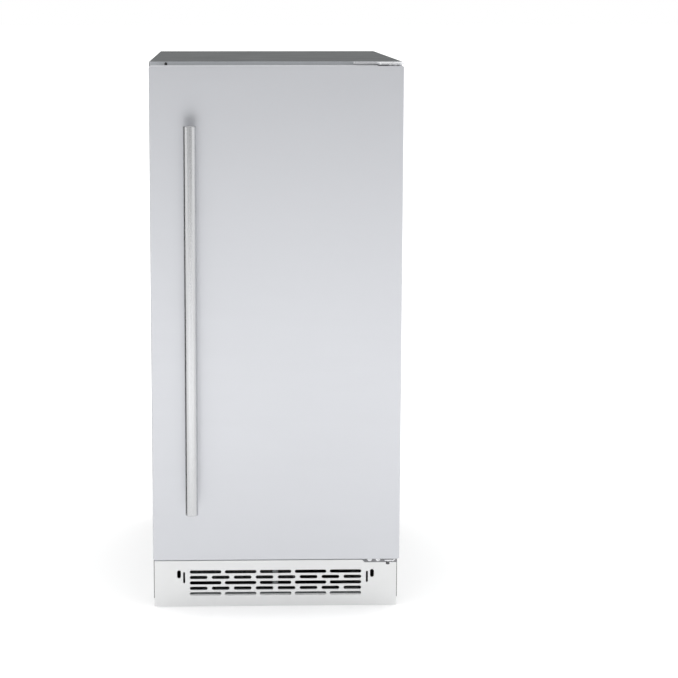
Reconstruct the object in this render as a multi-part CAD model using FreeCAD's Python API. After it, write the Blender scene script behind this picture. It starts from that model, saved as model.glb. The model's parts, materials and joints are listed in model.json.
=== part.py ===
"""Undercounter clear-ice maker, 15 inch class, as separate sub-parts in millimetres.

Frame: +X to the right seen from the front, +Y to the back, +Z up.
Origin: on the floor, at the centre of the overall footprint (handle to rear edge).
"""

import FreeCAD
import Part

import math
import os

V = FreeCAD.Vector
X_AXIS = V(1, 0, 0)
Y_AXIS = V(0, 1, 0)
Z_AXIS = V(0, 0, 1)

# ---------------------------------------------------------------- driving dimensions
WIDTH = 378.0  # cabinet, over the side panels
HEIGHT = 845.0  # floor to cabinet top, legs screwed right in
CABINET_DEPTH = 560.0
DOOR_WIDTH = 376.0
DOOR_BOTTOM = 91.0
DOOR_TOP = 840.0
DOOR_THICKNESS = 42.0
GASKET_DEPTH = 8.0  # gap between door liner and cabinet front, filled by the gasket
HANDLE_DIAMETER = 19.0
HANDLE_STANDOFF = 40.0  # door face to the bar's centre line
HANDLE_X = -128.0
HANDLE_BOTTOM = 172.5
HANDLE_TOP = 755.0
HINGE_INSET = 17.0  # hinge axis to the cabinet's side
HINGE_SETBACK = 20.0  # door face to the hinge axis
SHEET = 1.0  # steel sheet thickness
LINER_WALL = 2.0
FIT_GAP = 0.2  # radial room round a screw or tube that passes a hole
RUNNING_GAP = 0.06  # radial room of a pin that turns in its bush
MOVING_GAP = 0.4  # room beside a part that slides

# ---------------------------------------------------------------- derived planes
HALF = WIDTH / 2
OVERALL_DEPTH = (
    CABINET_DEPTH + GASKET_DEPTH + DOOR_THICKNESS + HANDLE_STANDOFF + HANDLE_DIAMETER / 2
)
BACK = OVERALL_DEPTH / 2
FRONT = BACK - CABINET_DEPTH  # cabinet front plane
DOOR_BACK = FRONT - GASKET_DEPTH
DOOR_FACE = DOOR_BACK - DOOR_THICKNESS
BAR_Y = DOOR_FACE - HANDLE_STANDOFF
HINGE_X = HALF - HINGE_INSET
HINGE_Y = DOOR_FACE + HINGE_SETBACK
INSIDE = HALF - SHEET  # inner face of a side panel
PAN_BOTTOM = 16.0
PANEL_TOP = HEIGHT - SHEET
FRAME_PLATE = 2.0
FRAME_BACK = FRONT + FRAME_PLATE
FOAM_BOTTOM = 186.0
COVER_Y = BACK - 30.0  # inner face of the recessed rear access cover
REAR_FLANGE = 12.0

# ice compartment
ROOM_HALF = 148.0
ROOM_BOTTOM = 220.0
ROOM_TOP = 800.0
ROOM_BACK = 280.0
ROOM_CORNER = 14.0
LINER_RIB_TOP = 498.0

# evaporator module
CHEEK_IN = 105.0
CHEEK_OUT = 116.0
GRID_FRONT = 96.0
GRID_DEPTH = 24.0
GRID_BOTTOM = 585.0
GRID_TOP = 745.0
CURTAIN_Y = 82.0
CURTAIN_Z = 768.0
DISTRIBUTOR_Y = 106.0
DISTRIBUTOR_Z = 756.0
RISER_X = 40.0
PUMP_X = 95.0
PUMP_Y = 210.0
FLOAT_X = -100.0
FLOAT_Y = 218.0
TROUGH_BOTTOM = LINER_RIB_TOP
TROUGH_TOP = 556.0
TROUGH_FRONT = 66.0
TROUGH_BACK = 256.0
TROUGH_WALL = 2.5
TROUGH_HALF = 147.6

# control housing
HOUSING_FRONT = -222.0
HOUSING_BACK = -158.0
HOUSING_BOTTOM = 752.0
HOUSING_HALF = 147.6
BUTTON_Z = 777.0
BUTTON_X = {"power": 34.0, "light": 68.0, "clean": 102.0}
BUTTON_RADIUS = 8.0

# machine compartment
CONDENSER = (-146.0, 30.0, -196.0, -160.0, 32.0, 164.0)  # x, x, y, y, z, z
FAN_X = -60.0
FAN_Z = 98.0
FAN_RADIUS = 54.0
COMPRESSOR_X = 70.0
COMPRESSOR_Y = 190.0
COMPRESSOR_RADIUS = 72.0
LEG_X = 158.0
LEG_FRONT_Y = FRONT + 42.0
LEG_REAR_Y = BACK - 52.0
LEG_PAD_RADIUS = 17.0
LEG_STEM_RADIUS = 5.0
WATER_X = -130.0
WATER_Z = 112.0
WATER_RADIUS = 13.2
DRAIN_X = -70.0
DRAIN_Z = 60.0
DRAIN_RADIUS = 8.0
SPIGOT_RADIUS = 9.5
SPIGOT_LENGTH = 22.7
GLAND_X = 140.0
GLAND_Z = 60.0
GLAND_BORE = 4.2
LINE_UP_X = 60.0
LINE_DOWN_X = 84.0
LINE_RADIUS = 4.0
LINE_BACK_Y = 292.0
LINE_END_Z = 150.0
WATER_TUBE_Y = 288.5
WATER_TUBE_RADIUS = 3.2
WATER_TUBE_Z = 575.0
DRAIN_HOLE = (DRAIN_X, 240.0)


# ---------------------------------------------------------------- helpers
def box(x0, x1, y0, y1, z0, z1):
    """Axis-aligned block between two corners."""
    return Part.makeBox(x1 - x0, y1 - y0, z1 - z0, V(x0, y0, z0))


def cylinder(point, axis, length, radius):
    return Part.makeCylinder(radius, length, V(*point), axis)


def edges_along(shape, axis):
    """Straight edges that run along an axis."""
    found = []
    for edge in shape.Edges:
        if edge.Curve.TypeId != "Part::GeomLine":
            continue
        run = edge.Vertexes[-1].Point.sub(edge.Vertexes[0].Point)
        if run.Length > 1e-6 and abs(abs(run.normalize().dot(axis)) - 1) < 1e-6:
            found.append(edge)
    return found


def rounded(shape, axis, radius):
    """Rounds every edge that runs along an axis."""
    return shape.makeFillet(radius, edges_along(shape, axis))


def edges_on_plane(shape, axis, offset):
    """Edges that lie wholly on the plane axis = offset."""
    return [
        edge
        for edge in shape.Edges
        if all(abs(vertex.Point.dot(axis) - offset) < 1e-6 for vertex in edge.Vertexes)
        and abs(edge.CenterOfMass.dot(axis) - offset) < 1e-6
    ]


def fused(shapes):
    """One solid from shapes that touch or overlap."""
    first, *rest = shapes
    return first.fuse(rest).removeSplitter() if rest else first


def group(shapes):
    """Several separate solids in one node."""
    return Part.makeCompound(list(shapes))


def moved(shape, x=0.0, y=0.0, z=0.0):
    copy = shape.copy()
    copy.translate(V(x, y, z))
    return copy


def route(points, bend):
    """Wire of straight runs joined by tangent arcs of one bend radius."""
    corners = [V(*point) for point in points]
    edges = []
    start = corners[0]
    for before, corner, after in zip(corners, corners[1:], corners[2:]):
        come = corner.sub(before).normalize()
        leave = after.sub(corner).normalize()
        turn = math.acos(max(-1.0, min(1.0, come.dot(leave))))
        reach = bend * math.tan(turn / 2)
        arc_in = corner.sub(V(come).multiply(reach))
        arc_out = corner.add(V(leave).multiply(reach))
        inward = V(leave).sub(come).normalize()
        middle = corner.add(inward.multiply(bend / math.cos(turn / 2) - bend))
        if arc_in.sub(start).Length > 1e-6:
            edges.append(Part.LineSegment(start, arc_in).toShape())
        edges.append(Part.Arc(arc_in, middle, arc_out).toShape())
        start = arc_out
    if corners[-1].sub(start).Length > 1e-6:
        edges.append(Part.LineSegment(start, corners[-1]).toShape())
    return Part.Wire(edges)


def tube(points, bend, radius, bore=0.0):
    """Round tube or rod along a bent route."""
    wire = route(points, bend)
    direction = V(*points[1]).sub(V(*points[0])).normalize()

    def swept(size):
        circle = Part.Wire(Part.makeCircle(size, V(*points[0]), direction))
        return wire.makePipeShell([circle], True, True)

    solid = swept(radius)
    return solid.cut(swept(bore)) if bore else solid


def slot(x, z, length, height, y0, y1):
    """Obround cutter along Y, long side along X when length > height."""
    if length >= height:
        across = (length - height) / 2
        radius = height / 2
        ends = [(x - across, z), (x + across, z)]
        middle = box(x - across, x + across, y0, y1, z - radius, z + radius)
    else:
        across = (height - length) / 2
        radius = length / 2
        ends = [(x, z - across), (x, z + across)]
        middle = box(x - radius, x + radius, y0, y1, z - across, z + across)
    caps = [cylinder((ex, y0, ez), Y_AXIS, y1 - y0, radius) for ex, ez in ends]
    return fused([middle, *caps])


def prism(points, axis, length):
    """Extrudes a closed outline of straight sides along an axis."""
    outline = Part.makePolygon([V(*point) for point in [*points, points[0]]])
    return Part.Face(outline).extrude(V(axis).multiply(length))


def hexagon(x, y, z0, z1, radius):
    """Upright hexagonal prism; radius is to the corners."""
    turns = [math.radians(a) for a in range(0, 360, 60)]
    corners = [(x + radius * math.cos(t), y + radius * math.sin(t), z0) for t in turns]
    return prism(corners, Z_AXIS, z1 - z0)


def pan_head(x, z, y, into, shank, radius=3.6, head=2.0):
    """Pan-head screw at a plane Y = y; into is +1 when the shank goes along +Y."""
    base = (x, y, z)
    head_axis = V(0, -into, 0)
    top = cylinder(base, head_axis, head, radius)
    rim = edges_on_plane(top, Y_AXIS, y - into * head)
    top = top.makeFillet(head * 0.45, rim)
    y0, y1 = sorted((y - into * head, y - into * 0.9))
    arm = radius * 0.5
    cross = [box(x - w, x + w, y0, y1, z - h, z + h) for w, h in ((arm, 0.5), (0.5, arm))]
    body = cylinder(base, V(0, into, 0), shank, radius * 0.5)
    return top.cut(fused(cross)).fuse(body)


# ---------------------------------------------------------------- cabinet
def top_panel():
    sheet = box(-HALF, HALF, FRAME_BACK, BACK, PANEL_TOP, HEIGHT)
    inset = HALF - REAR_FLANGE - 1.0
    flange = box(-inset, inset, BACK - SHEET, BACK, PANEL_TOP - REAR_FLANGE, PANEL_TOP)
    return fused([sheet, flange])


def side_panel(side):
    """Outer side sheet with a turned-in rear flange."""
    outer = side * HALF
    inner = side * INSIDE
    edge = side * (HALF - REAR_FLANGE)
    sheet = box(min(outer, inner), max(outer, inner), FRONT, BACK, PAN_BOTTOM, PANEL_TOP)
    flange = box(min(outer, edge), max(outer, edge), BACK - SHEET, BACK, PAN_BOTTOM, PANEL_TOP)
    return fused([sheet, flange])


REAR_SCREWS = [(x, z) for z in (34.0, 170.0) for x in (-176.0, 0.0, 176.0)]
SWAGE_ROWS = [270.0 + 120.0 * i for i in range(5)]
SWAGE_SIZE = (290.0, 22.0)  # length, height
SWAGE_DEPTH = 4.0


def swages(inset, y0):
    """Stiffening grooves across the back sheet, as tapered obround blocks that start at y0."""
    length, height = SWAGE_SIZE
    blocks = []
    for z in SWAGE_ROWS:
        block = slot(0, z, length - 2 * inset, height - 2 * inset, y0, y0 + SWAGE_DEPTH)
        blocks.append(block.makeChamfer(SWAGE_DEPTH - 1.0, edges_on_plane(block, Y_AXIS, y0)))
    return blocks


def rear_panel():
    """Upper back sheet, folded forward as the deck over the machine compartment."""
    y1 = BACK - SHEET
    sheet = box(-INSIDE, INSIDE, y1 - SHEET, y1, FOAM_BOTTOM, PANEL_TOP)
    deck = box(-INSIDE, INSIDE, FRAME_BACK, y1, FOAM_BOTTOM - SHEET, FOAM_BOTTOM)
    lip = box(-INSIDE, INSIDE, COVER_Y - SHEET, COVER_Y, 158.0, FOAM_BOTTOM - SHEET)
    pipes = [
        (LINE_UP_X, LINE_BACK_Y, LINE_RADIUS),
        (LINE_DOWN_X, LINE_BACK_Y, LINE_RADIUS),
        (WATER_X, WATER_TUBE_Y, WATER_TUBE_RADIUS),
        (*DRAIN_HOLE, DRAIN_RADIUS),
    ]
    holes = [cylinder((x, y, FOAM_BOTTOM - 3), Z_AXIS, 5, r + FIT_GAP) for x, y, r in pipes]
    screws = [cylinder((x, COVER_Y - 3, z), Y_AXIS, 6, 1.8 + FIT_GAP) for x, z in REAR_SCREWS]
    pressed = swages(0.0, y1 - SHEET - SWAGE_DEPTH)
    grooves = swages(SHEET, y1 - SWAGE_DEPTH)
    return fused([sheet, deck, lip, *pressed]).cut([*grooves, *holes, *screws])


def rear_access_cover():
    """Recessed lower back sheet with louvre slots and holes for the fittings."""
    y0, y1 = COVER_Y, COVER_Y + SHEET
    sheet = box(-INSIDE, INSIDE, y0, y1, PAN_BOTTOM + 1.2, FOAM_BOTTOM - SHEET)
    rows = [84.0 + 11.0 * i for i in range(8)]
    louvres = [slot(x, z, 62.0, 5.0, y0 - 1, y1 + 1) for z in rows for x in (-20.0, 55.0, 130.0)]
    holes = [
        cylinder((WATER_X, y0 - 1, WATER_Z), Y_AXIS, 4, WATER_RADIUS + FIT_GAP),
        cylinder((DRAIN_X, y0 - 1, DRAIN_Z), Y_AXIS, 4, DRAIN_RADIUS + FIT_GAP),
        cylinder((GLAND_X, y0 - 1, GLAND_Z), Y_AXIS, 4, 8.0 + FIT_GAP),
    ]
    screws = [cylinder((x, y0 - 1, z), Y_AXIS, 4, 1.8 + FIT_GAP) for x, z in REAR_SCREWS]
    return sheet.cut([*louvres, *holes, *screws])


LEGS = {
    "front_left": (-LEG_X, LEG_FRONT_Y),
    "front_right": (LEG_X, LEG_FRONT_Y),
    "rear_left": (-LEG_X, LEG_REAR_Y),
    "rear_right": (LEG_X, LEG_REAR_Y),
}
PAN_SHEET = 1.2
PAN_FRONT = FRONT + 18.0
PAN_LIP_TOP = 24.0
PAN_BACK = COVER_Y - PAN_SHEET


def base_pan():
    """Galvanised tray with upturned lips, weld bushes for the legs and a grille stay."""
    floor = PAN_BOTTOM + PAN_SHEET
    parts = [
        box(-INSIDE, INSIDE, PAN_FRONT, BACK - SHEET, PAN_BOTTOM, floor),
        box(-INSIDE, INSIDE, COVER_Y - PAN_SHEET, COVER_Y, floor, PAN_LIP_TOP + 18),
        box(-INSIDE, INSIDE, PAN_FRONT, PAN_FRONT + PAN_SHEET, floor, PAN_LIP_TOP),
        box(-INSIDE, -INSIDE + PAN_SHEET, PAN_FRONT, PAN_BACK, floor, PAN_LIP_TOP + 18),
        box(INSIDE - PAN_SHEET, INSIDE, PAN_FRONT, PAN_BACK, floor, PAN_LIP_TOP + 18),
        box(-4.0, 4.0, PAN_FRONT, PAN_FRONT + PAN_SHEET, PAN_LIP_TOP, 84.0),
    ]
    parts += [cylinder((x, y, floor), Z_AXIS, 14, 9) for x, y in LEGS.values()]
    holes = [
        cylinder((x, y, PAN_BOTTOM - 1), Z_AXIS, 20, LEG_STEM_RADIUS + FIT_GAP)
        for x, y in LEGS.values()
    ]
    holes += [cylinder((x, COVER_Y - 3, z), Y_AXIS, 6, 1.8 + FIT_GAP) for x, z in REAR_SCREWS]
    return fused(parts).cut(holes)


def leg(x, y):
    """Levelling leg: moulded pad, hexagonal collar and threaded stem."""
    pad = cylinder((x, y, 0), Z_AXIS, 8, LEG_PAD_RADIUS)
    pad = pad.makeFillet(1.5, edges_on_plane(pad, Z_AXIS, 8.0))
    pad = pad.makeChamfer(1.0, edges_on_plane(pad, Z_AXIS, 0.0))
    collar = hexagon(x, y, 8.0, PAN_BOTTOM, 11.0)
    stem = cylinder((x, y, 8.0), Z_AXIS, 36, LEG_STEM_RADIUS)
    stem = stem.makeChamfer(0.8, edges_on_plane(stem, Z_AXIS, 44.0))
    return fused([pad, collar, stem])


LEAF = 3.0
HINGE_LEFT = {"top": 116.0, "bottom": 139.0}
TOP_FLANGE = (822.0, 844.5)
TOP_LEAF = 841.8
LEAF_FRONT = HINGE_Y - 12.0
BOTTOM_LEAF = (86.0, 89.0)  # underside and top
BOTTOM_FLANGE_LOW = 72.0
NOSE_FRONT = HINGE_Y - 8.0
SCREW_Z = {"top": 831.5, "bottom": 77.5}
FRAME_BOTTOM = 68.0
PLUG_X = -164.0
PLUG_Z = 841.0
PLUG_SIZE = (3.0, 5.0)


def screw_places():
    """X and Z of every hinge screw on the right-hand side."""
    top = [(x, SCREW_Z["top"]) for x in (HINGE_LEFT["top"] + 9.0, 150.0, 183.5)]
    bottom = [(x, SCREW_Z["bottom"]) for x in (146.0, 159.0, 182.0)]
    return top, bottom


def front_frame():
    """Front plate of the cabinet round the ice compartment's mouth."""
    y0, y1 = FRONT - 1, FRAME_BACK + 1
    plate = box(-INSIDE, INSIDE, FRONT, FRAME_BACK, FRAME_BOTTOM, PANEL_TOP)
    rail = box(-HALF, HALF, FRONT, FRAME_BACK, PANEL_TOP, HEIGHT)
    mouth = box(-ROOM_HALF, ROOM_HALF, y0, y1, ROOM_BOTTOM, ROOM_TOP)
    mouth = rounded(mouth, Y_AXIS, ROOM_CORNER)
    top, bottom = screw_places()
    screws = [cylinder((x, y0, z), Y_AXIS, 4, 1.8 + FIT_GAP) for x, z in top + bottom]
    plug = slot(PLUG_X, PLUG_Z, PLUG_SIZE[0], PLUG_SIZE[1], y0, y1)
    return fused([plate, rail]).cut([mouth, plug, *screws])


def hinge_hole_plug():
    """Cap in the unused slot of the left-hand hinge position."""
    width, height = PLUG_SIZE
    shank = slot(PLUG_X, PLUG_Z, width, height, FRONT, FRAME_BACK)
    head = slot(PLUG_X, PLUG_Z, width + 1.0, height + 1.0, FRONT - 1.0, FRONT)
    return fused([shank, head])


def round_front(leaf, front, radius):
    """Rounds a leaf's upright corners on its front edge."""
    corners = [e for e in edges_along(leaf, Z_AXIS) if e.CenterOfMass.y < front + 1]
    return leaf.makeFillet(radius, corners)


def top_hinge_bracket():
    """Angle plate: flange on the cabinet front, leaf over the door's top edge."""
    left = HINGE_LEFT["top"]
    flange = box(left, HALF, FRONT - LEAF, FRONT, TOP_FLANGE[0], TOP_FLANGE[1])
    leaf = box(left + 34, HALF, LEAF_FRONT, FRONT - LEAF, TOP_LEAF, TOP_FLANGE[1])
    leaf = round_front(leaf, LEAF_FRONT, 8.0)
    ledge = box(left, left + 34, FRONT - 11, FRONT - LEAF, TOP_LEAF, TOP_FLANGE[1])
    bracket = fused([flange, leaf, ledge])
    top, _ = screw_places()
    holes = [cylinder((x, FRONT - 4, z), Y_AXIS, 5, 1.8 + FIT_GAP) for x, z in top]
    pin_hole = cylinder((HINGE_X, HINGE_Y, TOP_LEAF - 1), Z_AXIS, 5, PIN_RADIUS)
    return bracket.cut([*holes, pin_hole])


def bottom_hinge_bracket():
    """Leaf that tapers to the pin under the door, with a flange turned down on the cabinet front."""
    left, right = HINGE_LEFT["bottom"], HALF - 0.5
    low, high = BOTTOM_LEAF
    outline = [
        (left, FRONT),
        (left, FRONT - 8.0),
        (HINGE_X - 8.0, NOSE_FRONT),
        (HINGE_X + 8.0, NOSE_FRONT),
        (right, HINGE_Y + 10.0),
        (right, FRONT),
    ]
    leaf = prism([(x, y, low) for x, y in outline], Z_AXIS, high - low)
    leaf = round_front(leaf, NOSE_FRONT, 4.0)
    flange = box(left, right, FRONT - LEAF, FRONT, BOTTOM_FLANGE_LOW, high)
    bracket = fused([leaf, flange])
    _, bottom = screw_places()
    holes = [cylinder((x, FRONT - 4, z), Y_AXIS, 5, 1.8 + FIT_GAP) for x, z in bottom]
    pin_hole = cylinder((HINGE_X, HINGE_Y, low - 1), Z_AXIS, 5, PIN_RADIUS)
    return bracket.cut([*holes, pin_hole])


PIN_RADIUS = 4.0
PIN_REACH = 12.0  # into the door
PIN_TAIL = 77.0
BUSH_RADIUS = 7.0
BUSH_LENGTH = 14.0


def hinge_pins():
    """Top pin hanging from its leaf, and bottom pin with a nut and a thrust collar."""
    centre = (HINGE_X, HINGE_Y)
    low, high = BOTTOM_LEAF
    top_low = DOOR_TOP - PIN_REACH
    top = cylinder((*centre, top_low), Z_AXIS, TOP_FLANGE[1] - top_low, PIN_RADIUS)
    washer = cylinder((*centre, DOOR_TOP + 0.1), Z_AXIS, TOP_LEAF - DOOR_TOP - 0.1, 6.5)
    bottom = cylinder((*centre, low), Z_AXIS, DOOR_BOTTOM + PIN_REACH - low, PIN_RADIUS)
    tail = cylinder((*centre, PIN_TAIL), Z_AXIS, low - PIN_TAIL, 2.8)
    tail = tail.makeChamfer(0.6, edges_on_plane(tail, Z_AXIS, PIN_TAIL))
    nut = hexagon(*centre, low - 3.5, low, 5.6)
    collar = cylinder((*centre, high), Z_AXIS, DOOR_BOTTOM - high - 0.1, 7.0)
    return group([fused([top, washer]), fused([bottom, tail, nut, collar])])


def panel_screws():
    """Pan-head screws of the hinge brackets and of the rear access cover."""
    through = LEAF + FRAME_PLATE
    top, bottom = screw_places()
    hinge = [pan_head(x, z, FRONT - LEAF, 1, through) for x, z in top + bottom]
    cover = [pan_head(x, z, COVER_Y + SHEET, -1, 8.0) for x, z in REAR_SCREWS]
    return group(hinge + cover)


GRILLE_SHEET = 1.5
GRILLE_BOTTOM = 3.0
GRILLE_TOP = 75.6
GRILLE_HALF = 188.0
GRILLE_BLOCK = 133.3  # half width of the slotted area
GRILLE_ROWS = [57.8 - 8.75 * i for i in range(5)]
GRILLE_SLOT_HEIGHT = 5.2


def grille_slots():
    """Five rows of obround slots, five long and eight short ones in turn."""
    y0, y1 = FRONT - GRILLE_SHEET - 1, FRONT + 1
    cutters = []
    for i, z in enumerate(GRILLE_ROWS):
        count, length = (5, 49.0) if i % 2 == 0 else (8, 27.5)
        pitch = (2 * GRILLE_BLOCK - length) / (count - 1)
        first = -GRILLE_BLOCK + length / 2
        cutters += [
            slot(first + pitch * k, z, length, GRILLE_SLOT_HEIGHT, y0, y1) for k in range(count)
        ]
    for side in (-1, 1):
        cutters.append(slot(side * 150.0, 54.3, 6.0, 12.6, y0, y1))
        cutters.append(slot(side * 142.1, 48.9, 3.2, 17.8, y0, y1))
    return cutters


def toe_grille():
    """Stainless kick plate with folded edges and a corner cut for the lower hinge."""
    y0 = FRONT - GRILLE_SHEET
    face = box(-GRILLE_HALF, GRILLE_HALF, y0, FRONT, GRILLE_BOTTOM, GRILLE_TOP)
    depth = 13.0
    lip = GRILLE_SHEET
    folds = [
        box(-GRILLE_HALF + 1, -GRILLE_HALF + 1 + lip, FRONT, FRONT + depth, GRILLE_BOTTOM, 64.0),
        box(GRILLE_HALF - 1 - lip, GRILLE_HALF - 1, FRONT, FRONT + depth, GRILLE_BOTTOM, 64.0),
        box(1 - GRILLE_HALF, GRILLE_HALF - 1, FRONT, FRONT + depth, GRILLE_BOTTOM, GRILLE_BOTTOM + lip),
    ]
    notch_left = HINGE_LEFT["bottom"] - 0.5
    notch_bottom = BOTTOM_FLANGE_LOW - 0.3
    rise = GRILLE_TOP + 1 - notch_bottom
    notch = prism(
        [
            (notch_left, y0 - 1, notch_bottom),
            (HALF + 1, y0 - 1, notch_bottom),
            (HALF + 1, y0 - 1, GRILLE_TOP + 1),
            (notch_left - rise, y0 - 1, GRILLE_TOP + 1),
        ],
        Y_AXIS,
        GRILLE_SHEET + 2,
    )
    return fused([face, *folds]).cut([notch, *grille_slots()])


# ---------------------------------------------------------------- ice compartment
SCOOP_PEG_Z = 430.0
SCOOP_Y = -90.0
SENSOR_Z = 455.0


def liner_outer():
    shell = box(
        -ROOM_HALF - LINER_WALL,
        ROOM_HALF + LINER_WALL,
        FRAME_BACK,
        ROOM_BACK + LINER_WALL,
        ROOM_BOTTOM - LINER_WALL,
        ROOM_TOP + LINER_WALL,
    )
    return rounded(shell, Y_AXIS, ROOM_CORNER + LINER_WALL)


def service_holes():
    """Ways through the liner's back and floor for tubes, as cutters."""
    through = ROOM_BACK - 3
    return [
        cylinder((LINE_UP_X, through, 600.0), Y_AXIS, 60, LINE_RADIUS + FIT_GAP),
        cylinder((LINE_DOWN_X, through, 740.0), Y_AXIS, 60, LINE_RADIUS + FIT_GAP),
        cylinder((WATER_X, through, WATER_TUBE_Z), Y_AXIS, 60, WATER_TUBE_RADIUS + FIT_GAP),
        cylinder((*DRAIN_HOLE, ROOM_BOTTOM - 3), Z_AXIS, 6, DRAIN_RADIUS + FIT_GAP),
    ]


def inner_liner():
    """Vacuum-formed tub with ledges for the trough and two pegs for the scoop."""
    shell = liner_outer()
    hollow = box(-ROOM_HALF, ROOM_HALF, FRAME_BACK - 1, ROOM_BACK, ROOM_BOTTOM, ROOM_TOP)
    shell = shell.cut(rounded(hollow, Y_AXIS, ROOM_CORNER))
    additions = []
    for side in (-1, 1):
        wall, inner = side * (ROOM_HALF + 1), side * (ROOM_HALF - 9)
        x0, x1 = sorted((wall, inner))
        additions.append(box(x0, x1, 60.0, ROOM_BACK + 1, LINER_RIB_TOP - 8, LINER_RIB_TOP))
    for y in (SCOOP_Y - 18, SCOOP_Y + 18):
        peg = cylinder((-ROOM_HALF - 1, y, SCOOP_PEG_Z), X_AXIS, 13, 3.5)
        tip = cylinder((-ROOM_HALF + 9.5, y, SCOOP_PEG_Z), X_AXIS, 2.5, 5.0)
        additions += [peg, tip]
    return fused([shell, *additions]).cut(service_holes())


def cabinet_insulation():
    """Foam between the liner and the outer panels."""
    block = box(-INSIDE, INSIDE, FRAME_BACK, BACK - 2 * SHEET, FOAM_BOTTOM, PANEL_TOP)
    pocket = [
        liner_outer(),
        box(-ROOM_HALF, ROOM_HALF, FRAME_BACK - 1, ROOM_BACK, ROOM_BOTTOM, ROOM_TOP),
        tube(coil_points(), COIL_BEND, LINE_RADIUS + 0.5),
        tube(inlet_points(), INLET_BEND, WATER_TUBE_RADIUS + 0.5),
        cylinder((*DRAIN_HOLE, FOAM_BOTTOM - 1), Z_AXIS, 40, DRAIN_RADIUS + 0.5),
        *swages(0.0, BACK - 2 * SHEET - SWAGE_DEPTH),
    ]
    return block.cut(pocket)


def ice_retainer():
    """Clear plate that keeps ice in when the door opens, with a dipped top edge."""
    plate = box(-147.4, 147.4, -224.0, -221.0, ROOM_BOTTOM + 0.2, 296.0)
    lower = [e for e in edges_along(plate, Y_AXIS) if e.CenterOfMass.z < 230]
    upper = [e for e in edges_along(plate, Y_AXIS) if e.CenterOfMass.z > 290]
    plate = plate.makeFillet(ROOM_CORNER, lower + upper)
    dip = rounded(box(-90.0, 90.0, -225.0, -220.0, 276.0, 330.0), Y_AXIS, 16.0)
    return plate.cut(dip)


# ---------------------------------------------------------------- controls
DISPLAY = (-112.0, -26.0, 764.0, 790.0)  # x, x, z, z
LIGHT = (-70.0, 70.0, -204.0, -176.0)  # x, x, y, y
HOUSING_WALL = 2.5


def control_housing():
    """Moulded box under the ceiling with a face for display and buttons."""
    wall = HOUSING_WALL
    outer = box(-HOUSING_HALF, HOUSING_HALF, HOUSING_FRONT, HOUSING_BACK, HOUSING_BOTTOM, ROOM_TOP - 0.2)
    ceiling = [e for e in edges_along(outer, Y_AXIS) if e.CenterOfMass.z > ROOM_TOP - 1]
    outer = outer.makeFillet(ROOM_CORNER, ceiling)
    lower_front = [
        e
        for e in edges_along(outer, X_AXIS)
        if e.CenterOfMass.z < HOUSING_BOTTOM + 1 and e.CenterOfMass.y < HOUSING_FRONT + 1
    ]
    outer = outer.makeFillet(6.0, lower_front)
    hollow = box(
        -HOUSING_HALF + wall + 6,
        HOUSING_HALF - wall - 6,
        HOUSING_FRONT + wall,
        HOUSING_BACK + 1,
        HOUSING_BOTTOM + wall + 4,
        ROOM_TOP - 9,
    )
    cuts = [
        hollow,
        box(*DISPLAY[:2], HOUSING_FRONT - 1, HOUSING_FRONT + wall + 1, *DISPLAY[2:]),
        box(*LIGHT, HOUSING_BOTTOM - 1, HOUSING_BOTTOM + wall + 5),
    ]
    for x in BUTTON_X.values():
        hole = (x, HOUSING_FRONT - 1, BUTTON_Z)
        cuts.append(cylinder(hole, Y_AXIS, wall + 2, BUTTON_RADIUS + MOVING_GAP))
    return outer.cut(cuts)


def display_window():
    pane = box(*DISPLAY[:2], HOUSING_FRONT - 0.4, HOUSING_FRONT + 1.8, *DISPLAY[2:])
    return pane.makeFillet(0.3, edges_on_plane(pane, Y_AXIS, HOUSING_FRONT - 0.4))


def light_lens():
    lens = box(*LIGHT, HOUSING_BOTTOM - 1.5, HOUSING_BOTTOM + 3)
    return lens.makeFillet(1.0, edges_on_plane(lens, Z_AXIS, HOUSING_BOTTOM - 1.5))


def button(x):
    """Push button: domed cap with a retaining flange behind the face."""
    face = HOUSING_FRONT - 2.2
    cap = cylinder((x, face, BUTTON_Z), Y_AXIS, 9.0, BUTTON_RADIUS)
    cap = cap.makeFillet(1.2, edges_on_plane(cap, Y_AXIS, face))
    flange_y = HOUSING_FRONT + HOUSING_WALL + 0.1
    flange = cylinder((x, flange_y, BUTTON_Z), Y_AXIS, 2.0, BUTTON_RADIUS + 2.0)
    return fused([cap, flange])


# ---------------------------------------------------------------- ice making
GRID_COLUMNS = 8
GRID_ROWS = 6
FIN = 1.0
GRID_HALF = CHEEK_IN - 0.2


def evaporator_grid():
    """Plated plate with upright and level strips, slotted half way into each other."""
    back = GRID_FRONT + GRID_DEPTH
    face = back - 2.0
    middle = (GRID_FRONT + face) / 2
    across = (2 * GRID_HALF - FIN) / GRID_COLUMNS
    up = (GRID_TOP - GRID_BOTTOM - FIN) / GRID_ROWS
    lefts = [-GRID_HALF + across * i for i in range(GRID_COLUMNS + 1)]
    lows = [GRID_BOTTOM + up * j for j in range(GRID_ROWS + 1)]
    parts = [box(-GRID_HALF, GRID_HALF, face, back, GRID_BOTTOM, GRID_TOP)]
    for x in lefts:
        strip = box(x, x + FIN, GRID_FRONT, face, GRID_BOTTOM, GRID_TOP)
        parts.append(strip.cut([box(x - 1, x + FIN + 1, middle, back, z, z + FIN) for z in lows]))
    for z in lows:
        strip = box(-GRID_HALF, GRID_HALF, GRID_FRONT, face, z, z + FIN)
        slots = [box(x, x + FIN, GRID_FRONT - 1, middle, z - 1, z + FIN + 1) for x in lefts]
        parts.append(strip.cut(slots))
    return group(parts)


COIL_Y = GRID_FRONT + GRID_DEPTH + LINE_RADIUS
COIL_PASSES = [600.0, 628.0, 656.0, 684.0, 712.0, 740.0]
COIL_REACH = 92.0
COIL_BEND = 10.0


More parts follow.
